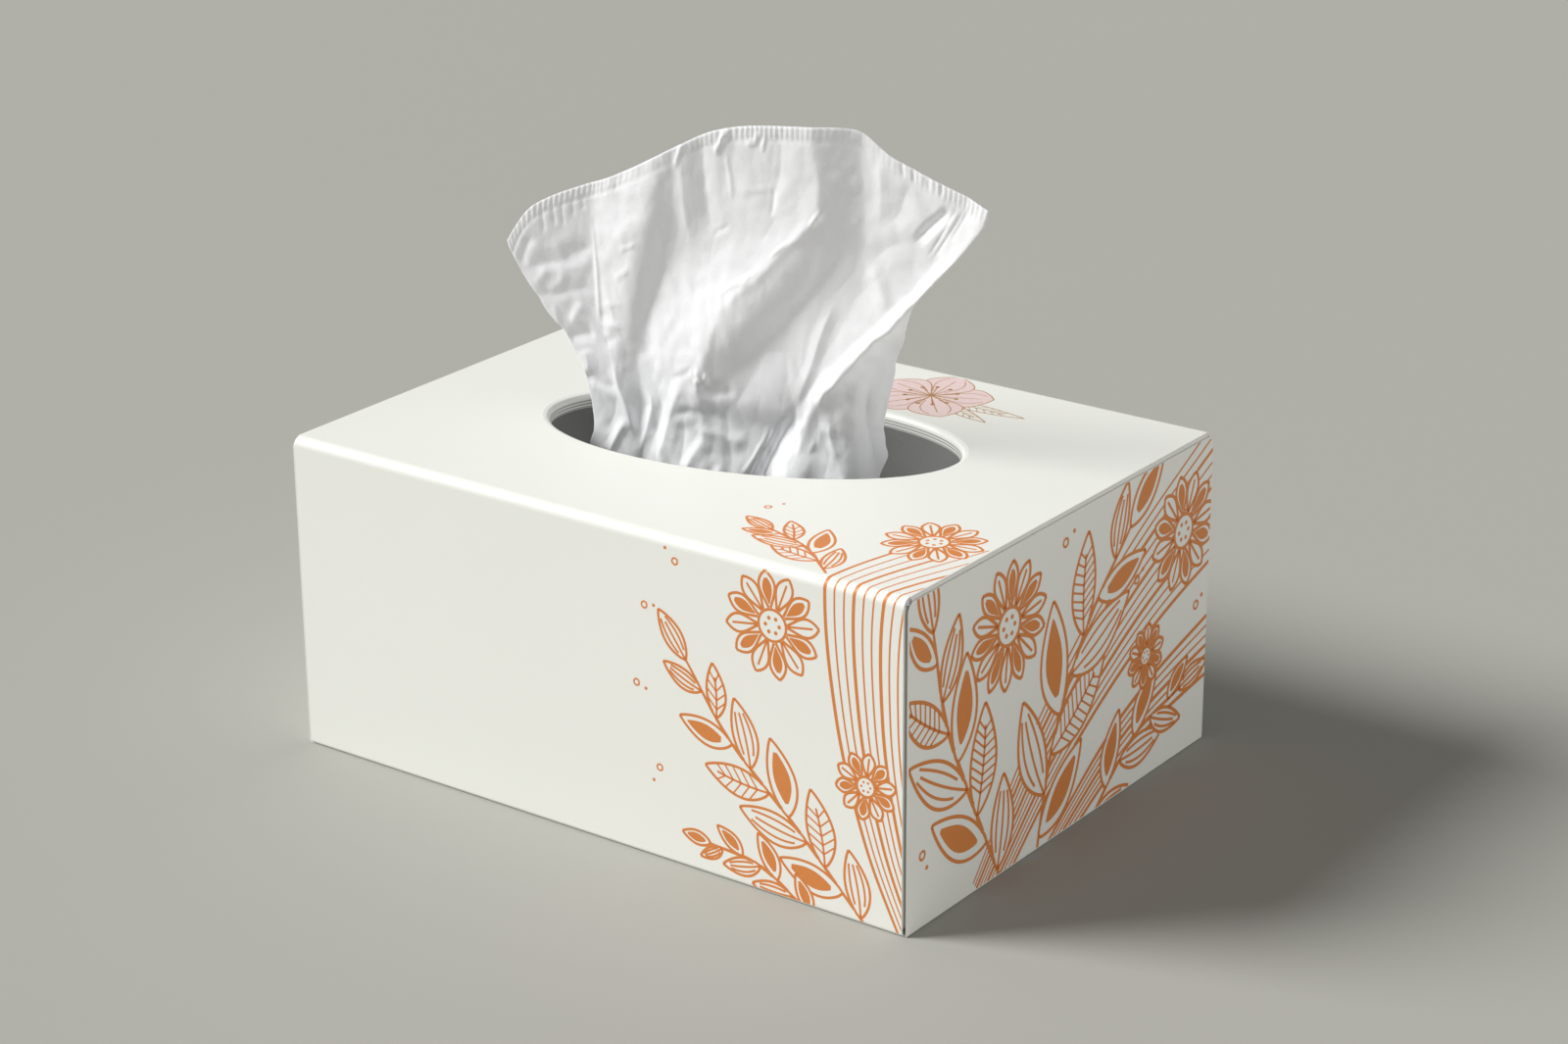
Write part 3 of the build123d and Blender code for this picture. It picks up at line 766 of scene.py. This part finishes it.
tip_leaf_share = 0.7
petal_turn_share = 0.3
petal_foot_share = 0.26
petal_length_share = 0.76
petal_width_share = 4.2
petal_bluntness = 1.5
daisy_middle_share = 0.3
seed_ring_share = 0.15
seed_share = 0.04
seed_count = 6
ray_foot_spread = 0.35
fine_ray_share, bold_ray_share = 0.7, 1.3
bold_ray_every = 3
ray_taper = 0.3
dot_share = 0.55
ring_line_share = 0.7
front_dot_radius, end_dot_radius = 0.9, 1.2
front_corners = ((8, 0.9), (98.7, 0.9), (98.7, 152), (8, 152))
end_corners = (
    (-72.2, 0.7), (72.2, 0.7), (72.2, 86.0), (71.2, 88.2),
    (69.2, 89.0), (-69.2, 89.0), (-71.2, 88.2), (-72.2, 86.0),
)
mixed_styles = ("double", "solid", "veined")
front_dots = (
    (20, 70), (23, 70.5), (17, 48), (20, 47), (24, 26), (22, 22), (30, 84), (27, 87), (36, 120), (38, 124),
)
end_dots = ((-2, 82), (2, 84), (34, 60), (37, 62), (66, 42), (69, 44), (-66, 20), (-64, 16))


def sideways(run):
    """Unit steps to the left of a run, at each of its points."""
    step = np.gradient(run, axis=0)
    length = np.maximum(np.hypot(step[:, 0], step[:, 1]), least_length)
    return np.column_stack([-step[:, 1], step[:, 0]]) / length[:, None]


def stroke(run, width, taper=0.0):
    """Line of ink along a run, as quads that narrow towards both ends by a share."""
    half = (width / 2 * (1 - taper * np.linspace(-1, 1, len(run)) ** 2))[:, None]
    left, right = run + sideways(run) * half, run - sideways(run) * half
    return [np.array((left[k], right[k], right[k + 1], left[k + 1])) for k in range(len(run) - 1)]


def ring_run(centre, radius):
    """Points round a circle, closed."""
    turn = np.linspace(0, 2 * math.pi, max(least_ring_steps, int(radius * ring_steps_per_mm)))
    return np.column_stack([centre[0] + radius * np.cos(turn), centre[1] + radius * np.sin(turn)])


def disc(centre, radius):
    """Filled circle of ink."""
    rim = ring_run(centre, radius)
    return [np.array((centre, rim[k], rim[k + 1])) for k in range(len(rim) - 1)]


def leaf(base, heading, length, width, line, style, bend, blunt=leaf_bluntness):
    """One leaf or petal: its lines and fills, and the outline that hides what is behind it."""
    way = np.linspace(0, 1, max(least_leaf_steps, int(length * leaf_steps_per_mm)))
    ahead = np.array((math.cos(heading), math.sin(heading)))
    aside = np.array((-ahead[1], ahead[0]))
    middle = np.array(base) + np.outer(way * length, ahead) + np.outer(bend * length * way ** 2, aside)
    half = np.outer(width / 2 * np.sin(math.pi * way ** blunt) ** leaf_roundness, aside)
    left, right = middle + half, middle - half
    ink = stroke(left, line) + stroke(right, line)
    core = (way > core_shares[0]) & (way < core_shares[1])
    if style == "solid":
        core_way = np.clip((way - core_shares[0]) / (core_shares[1] - core_shares[0]), 0, 1)
        core_half = solid_core_share * np.sqrt(np.sin(math.pi * core_way))[:, None] * half
        near, far = middle + core_half, middle - core_half
        for k in np.nonzero(core)[0][:-1]:
            ink.append(np.array((near[k], far[k], far[k + 1], near[k + 1])))
    else:
        ink += stroke(middle[way < midrib_share], line * fine_line_share)
    if style == "double":
        for inner in (inner_line_share * half, -inner_line_share * half):
            ink += stroke((middle + inner)[core], line * fine_line_share)
    if style == "veined":
        for k in np.nonzero(core)[0][:-vein_gap:vein_gap]:
            for edge in (vein_reach_share * half, -vein_reach_share * half):
                tip = middle[k + vein_gap] + edge[k + vein_gap]
                ink += stroke(np.linspace(middle[k], tip, vein_steps), line * vein_line_share)
    return ink, np.concatenate([left, right[::-1]])


def frond(places, pairs, length, width, line, styles):
    """A stem with leaves in pairs along it and one at its tip, from the back to the front."""
    run = smooth_run(places, stem_steps)[0]
    motifs = [(stroke(run, line * stem_line_share, stem_taper), None)]
    step = np.gradient(run, axis=0)
    for k in range(2 * pairs):
        at = first_leaf_share + leafy_stem_share * k / (2 * pairs - 1)
        spot = int(at * (len(run) - 1))
        side = 1 if k % 2 else -1
        heading = math.atan2(step[spot, 1], step[spot, 0]) + side * math.radians(leaf_turn_deg)
        swell = math.sin(math.pi * min(1.0, at + leaf_swell_lead))
        size = least_leaf_share + (1 - least_leaf_share) * swell
        style = styles[k % len(styles)]
        bend = -side * leaf_bend_share
        motifs.append(leaf(run[spot], heading, length * size, width * size, line, style, bend))
    heading = math.atan2(step[-1, 1], step[-1, 0])
    tip_length, tip_width = length * tip_leaf_share, width * tip_leaf_share
    motifs.append(leaf(run[-1], heading, tip_length, tip_width, line, styles[0], 0.0))
    return motifs


def off_centre(centre, turn, reach):
    """Place at a reach from a centre, in the way of a turn."""
    return (centre[0] + reach * math.cos(turn), centre[1] + reach * math.sin(turn))


def daisy(centre, radius, petals, line):
    """A flat daisy: round petals about a middle with seeds."""
    motifs = []
    petal_width = petal_width_share * radius / petals
    for k in range(petals):
        turn = 2 * math.pi * (k + petal_turn_share) / petals
        base = off_centre(centre, turn, petal_foot_share * radius)
        style = "solid" if k % 2 else "plain"
        length = petal_length_share * radius
        motifs.append(leaf(base, turn, length, petal_width, line, style, 0.0, petal_bluntness))
    middle = ring_run(centre, daisy_middle_share * radius)
    seeds = []
    for k in range(seed_count):
        seed_place = off_centre(centre, 2 * math.pi * k / seed_count, seed_ring_share * radius)
        seeds += disc(seed_place, seed_share * radius)
    motifs.append((stroke(middle, line) + seeds, middle))
    return motifs


def rays(places, count, gap, line, steps):
    """A band of flowing lines, one beside the other."""
    run, way = smooth_run(places, steps)
    spread = gap * (ray_foot_spread + (1 - ray_foot_spread) * way)[:, None]
    motifs = []
    for k in range(count):
        weight = fine_ray_share if k % bold_ray_every else bold_ray_share
        motifs.append((stroke(run + k * spread * sideways(run), line * weight, ray_taper), None))
    return motifs


def dots(places, radius, line):
    """Rings and dots, in turn."""
    motifs = []
    for k, centre in enumerate(places):
        ring = stroke(ring_run(centre, radius), line * ring_line_share)
        motifs.append((disc(centre, radius * dot_share) if k % 2 else ring, None))
    return motifs


def enclosed(places, outline):
    """Which places lie within an outline."""
    first, second = outline, np.roll(outline, -1, axis=0)
    x, y = places[:, :1], places[:, 1:]
    crosses = (first[:, 1] > y) != (second[:, 1] > y)
    rise = np.where(second[:, 1] == first[:, 1], least_length, second[:, 1] - first[:, 1])
    reach = first[:, 0] + (y - first[:, 1]) * (second[:, 0] - first[:, 0]) / rise
    return (crosses & (x < reach)).sum(axis=1) % 2 == 1


def trimmed(facet, corners):
    """A facet cut to the panel's corners, which run anticlockwise."""
    for first, second in zip(corners, corners[1:] + corners[:1]):
        along_x, along_y = second[0] - first[0], second[1] - first[1]
        depth = [along_x * (spot[1] - first[1]) - along_y * (spot[0] - first[0]) for spot in facet]
        kept = []
        for k, here in enumerate(facet):
            after = (k + 1) % len(facet)
            if depth[k] >= 0:
                kept.append(here)
            if (depth[k] >= 0) != (depth[after] >= 0):
                kept.append(here + (facet[after] - here) * depth[k] / (depth[k] - depth[after]))
        facet = kept
        if len(facet) < 3:
            return []
    return facet


def on_front(place, lift):
    """Place on the front panel, over its top crease and on along the top panel."""
    x, up = place[0] / mm_in_metre, place[1] / mm_in_metre
    bend_foot = carton_height - crease_radius
    bend = (up - bend_foot) / crease_radius
    front_y = carton_low.y
    if bend <= 0:
        return (x, front_y - lift, up)
    if bend <= math.pi / 2:
        reach = crease_radius + lift
        return (x, front_y + crease_radius - reach * math.cos(bend), bend_foot + reach * math.sin(bend))
    return (x, front_y + up - bend_foot - crease_radius * (math.pi / 2 - 1), carton_height + lift)


def on_end(place, lift):
    """Place on the right end's outer flap."""
    return (carton_high.x + lift, place[0] / mm_in_metre, place[1] / mm_in_metre)


def print_ink(name, panels, looks):
    """One printed piece: a thin film of ink with motifs laid on panels, the later hiding the earlier."""
    verts, faces, marks = [], [], []
    for motifs, corners, put in panels:
        centres = [np.array([facet.mean(axis=0) for facet in ink]) for ink, outline, *mark in motifs]
        for k, (ink, outline, *mark) in enumerate(motifs):
            shown = np.ones(len(ink), bool)
            for hiding in (motif[1] for motif in motifs[k + 1:]):
                if hiding is not None and len(ink):
                    shown &= ~enclosed(centres[k], hiding)
            # Motifs take thin layers in turn, so that one and the next don't share a plane
            lift = ink_lift + ink_layer * (k % ink_layers)
            for facet in (trimmed(list(facet), corners) for facet, seen in zip(ink, shown) if seen):
                if facet:
                    faces.append(tuple(range(len(verts), len(verts) + len(facet))))
                    verts += [put(place, lift) for place in facet]
                    marks.append(mark[0] if mark else 0)
    made = put_mesh(name, verts, faces)
    mesh = made.data
    mesh.polygons.foreach_set("material_index", marks)
    for look in looks:
        mesh.materials.append(look)
    work = bmesh.new()
    work.from_mesh(mesh)
    bmesh.ops.remove_doubles(work, verts=work.verts, dist=ink_weld)
    bmesh.ops.recalc_face_normals(work, faces=work.faces)
    work.to_mesh(mesh)
    work.free()
    film = made.modifiers.new("ink_film", "SOLIDIFY")
    film.thickness = ink_thickness
    film.offset = 1.0
    made.visible_shadow = False  # a film of ink is too thin to shade the board
    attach(made, "root")


def ink_material(name, colour_low, colour_high):
    """Printed ink with a faint mottle, as glossy as the coat under it."""
    look, tree, shader, place = new_material(name, Roughness=0.45, IOR=1.46)
    paint(tree, shader, noise(tree, place, ink_mottle_scale), colour_low, colour_high)
    return look


# Rays: places, count, gap; fronds: places, pairs, leaf length and width; daisies: centre, radius, petals
front_motifs = (
    rays(((101, -6), (88, 22), (79, 55), (76, 92), (84, 130)), 9, -3.6, front_line, front_ray_steps)
    + frond(((92, -4), (68, 20), (46, 40), (33, 58)), 5, 21, 8.5, front_line, mixed_styles)
    + frond(((74, 92), (60, 103), (46, 108)), 3, 16, 6.5, front_line, ("double", "veined", "solid"))
    + frond(((74, -4), (56, 7), (40, 9)), 3, 13, 5.5, front_line, ("solid", "double"))
    + daisy((60, 74), 14, 12, front_line)
    + daisy((84, 124), 13, 12, front_line)
    + daisy((88, 38), 9, 10, front_line)
    + dots(front_dots, front_dot_radius, front_line)
)
end_motifs = (
    rays(((-34, -8), (0, 20), (40, 42), (90, 58)), 12, 3.6, end_line, end_ray_steps)
    + rays(((-8, -8), (34, 12), (90, 22)), 7, 3.2, end_line, end_ray_steps)
    + frond(((-28, -5), (-44, 26), (-56, 52), (-62, 78)), 4, 30, 12, end_line, mixed_styles)
    + frond(((-14, -5), (-6, 28), (10, 56), (30, 76)), 4, 33, 13, end_line, ("solid", "double", "veined"))
    + frond(((10, -5), (34, 14), (58, 20)), 3, 22, 9, end_line, ("double", "solid"))
    + daisy((-28, 68), 17, 14, end_line)
    + daisy((58, 66), 16, 12, end_line)
    + daisy((40, 36), 9, 10, end_line)
    + dots(end_dots, end_dot_radius, end_line)
)
orange_ink = ink_material("orange_ink", orange_low, orange)
leaf_panels = ((front_motifs, front_corners, on_front), (end_motifs, end_corners, on_end))
print_ink("leaf_print", leaf_panels, (orange_ink,))


# Blossom print: one five-petalled blossom in pale pink with gold-brown lines, at the back of the top.
# It is laid down in the same printing as the leaves, pink first and then the lines.
blossom_centre = (22.0, 53.0)
blossom_radius = 17.5
blossom_line = 0.35
pink = (0.86, 0.70, 0.68, 1.0)
pink_low = (0.80, 0.60, 0.59, 1.0)
gold_brown = (0.47, 0.25, 0.09, 1.0)
gold_brown_low = (0.40, 0.19, 0.06, 1.0)
petal_turns_deg = (20, 92, 164, 236, 308)
blossom_petal_width_share = 0.86
blossom_petal_bend = 0.06
blossom_petal_bluntness = 1.35
stamen_count = 11
stamen_share = 0.42
stamen_start_deg = 12
stamen_steps = 6
anther_radius = 0.7
blossom_leaves = ((-28, 26), (-8, 31), (195, 27), (168, 31))
blossom_leaf_width = 5.0
blossom_leaf_bend = 0.1
blossom_corners = ((-60, 34), (98, 34), (98, 69.8), (-60, 69.8))


def on_top(place, lift):
    """Place on the top panel."""
    return (place[0] / mm_in_metre, place[1] / mm_in_metre, carton_height + lift)


def blossom_petal(heading):
    """A broad petal: its pink field and its lines."""
    width = blossom_petal_width_share * blossom_radius
    ink, outline = leaf(
        blossom_centre, heading, blossom_radius, width, blossom_line, "double",
        blossom_petal_bend, blossom_petal_bluntness,
    )
    middle = outline.mean(axis=0)
    after = np.roll(outline, -1, axis=0)
    field = [np.array((middle, outline[k], after[k])) for k in range(len(outline))]
    return [(field, outline, 0), (ink, None, 1)]


blossom_motifs = []
for heading, length in reversed(blossom_leaves):
    ink, outline = leaf(
        blossom_centre, math.radians(heading), length, blossom_leaf_width, blossom_line, "veined",
        blossom_leaf_bend,
    )
    blossom_motifs.append((ink, outline, 1))
for turn_deg in petal_turns_deg:
    blossom_motifs += blossom_petal(math.radians(turn_deg))
for k in range(stamen_count):
    turn = math.radians(stamen_start_deg + 360 * k / stamen_count)
    tip = off_centre(blossom_centre, turn, stamen_share * blossom_radius)
    stalk = stroke(np.linspace(blossom_centre, tip, stamen_steps), blossom_line)
    blossom_motifs.append((stalk + disc(tip, anther_radius), None, 1))
pink_ink = ink_material("pink_ink", pink_low, pink)
gold_ink = ink_material("gold_brown_ink", gold_brown_low, gold_brown)
print_ink("blossom_print", ((blossom_motifs, blossom_corners, on_top),), (pink_ink, gold_ink))


# Stage: a plain floor of matt pale grey paper that runs out of sight,
# with the least drift of tone.
floor_half = 8.0
floor_grey = (0.444, 0.440, 0.408, 1.0)
floor_grey_low = (0.438, 0.434, 0.402, 1.0)
floor_drift_scale = 3.0
floor_corners = [(x * floor_half, y * floor_half, 0) for x, y in ((-1, -1), (1, -1), (1, 1), (-1, 1))]
floor = put_mesh("floor", floor_corners, [(0, 1, 2, 3)])
floor_look, tree, shader, place = new_material("floor_paper", Roughness=0.9, Specular_IOR_Level=0.1)
paint(tree, shader, noise(tree, place, floor_drift_scale), floor_grey_low, floor_grey)
floor.data.materials.append(floor_look)


# Light: a soft key from the left, a low soft fill from the right, which keeps off the floor, and an even
# grey surround. Part of key and fill passes the thin tissue.
key_height = math.radians(35.5)
key_aside = (0.84, 0.54)
key_towards = (*(way * math.cos(key_height) for way in key_aside), -math.sin(key_height))
key_strength = 3.85
key_softness_deg = 26.0
key_colour = (1.0, 1.0, 0.99)
fill_towards = (-0.95, -0.1, -0.21)
fill_strength = 1.0
fill_softness_deg = 60.0
fill_colour = (1.0, 0.99, 0.98)
passing_share = 0.66
surround_grey = (0.43, 0.43, 0.42, 1.0)
surround_strength = 0.60


def add_sun(name, towards, strength, softness_deg, colour):
    """A far soft light, and its object."""
    light = bpy.data.lights.new(name, "SUN")
    light.energy = strength
    light.angle = math.radians(softness_deg)
    light.color = colour
    made = put_in_scene(name, light)
    made.rotation_euler = Vector(towards).to_track_quat("-Z", "Y").to_euler()
    return made


def all_but(name, thing):
    """A collection that leaves one thing out of what a light falls on, or of what blocks it."""
    made = bpy.data.collections.new(name)
    made.objects.link(thing)
    made.collection_objects[0].light_linking.link_state = "EXCLUDE"
    return made


passed = all_but("passed_by_key", drawn_tissue)
lit_by_fill = all_but("lit_by_fill", floor)
light_parts = (("", 1 - passing_share, None), ("_through_tissue", passing_share, passed))
for name, towards, strength, softness_deg, colour, lit in (
    ("key", key_towards, key_strength, key_softness_deg, key_colour, None),
    ("fill", fill_towards, fill_strength, fill_softness_deg, fill_colour, lit_by_fill),
):
    for ending, share, blocked in light_parts:
        sun = add_sun(name + ending, towards, strength * share, softness_deg, colour)
        sun.light_linking.receiver_collection = lit
        sun.light_linking.blocker_collection = blocked
world = bpy.data.worlds.new("surround")
bpy.context.scene.world = world
world.use_nodes = True
world.node_tree.nodes["Background"].inputs[0].default_value = surround_grey
world.node_tree.nodes["Background"].inputs[1].default_value = surround_strength


# Camera at the photograph's place: 36 degrees to the right of the front, 21 degrees down.
camera_place = (0.540602, -0.723600, 0.415228)
camera_lens = 82.26
camera_sensor = 36.0
side_turn = math.radians(36.24)
down_tilt = math.radians(21.22)
roll = math.radians(-0.38)
camera_data = bpy.data.cameras.new("camera")
camera_data.lens = camera_lens
camera_data.sensor_width = camera_sensor
camera = put_in_scene("camera", camera_data)
backwards = Vector((
    math.sin(side_turn) * math.cos(down_tilt),
    -math.cos(side_turn) * math.cos(down_tilt),
    math.sin(down_tilt),
))
rightwards = Vector((math.cos(side_turn), math.sin(side_turn), 0.0))
upwards = backwards.cross(rightwards)
right_rolled = rightwards * math.cos(roll) + upwards * math.sin(roll)
up_rolled = upwards * math.cos(roll) - rightwards * math.sin(roll)
turned = Matrix((right_rolled, up_rolled, backwards)).transposed().to_4x4()
turned.translation = camera_place
camera.matrix_world = turned
bpy.context.scene.camera = camera
bpy.context.scene.view_settings.view_transform = "Standard"
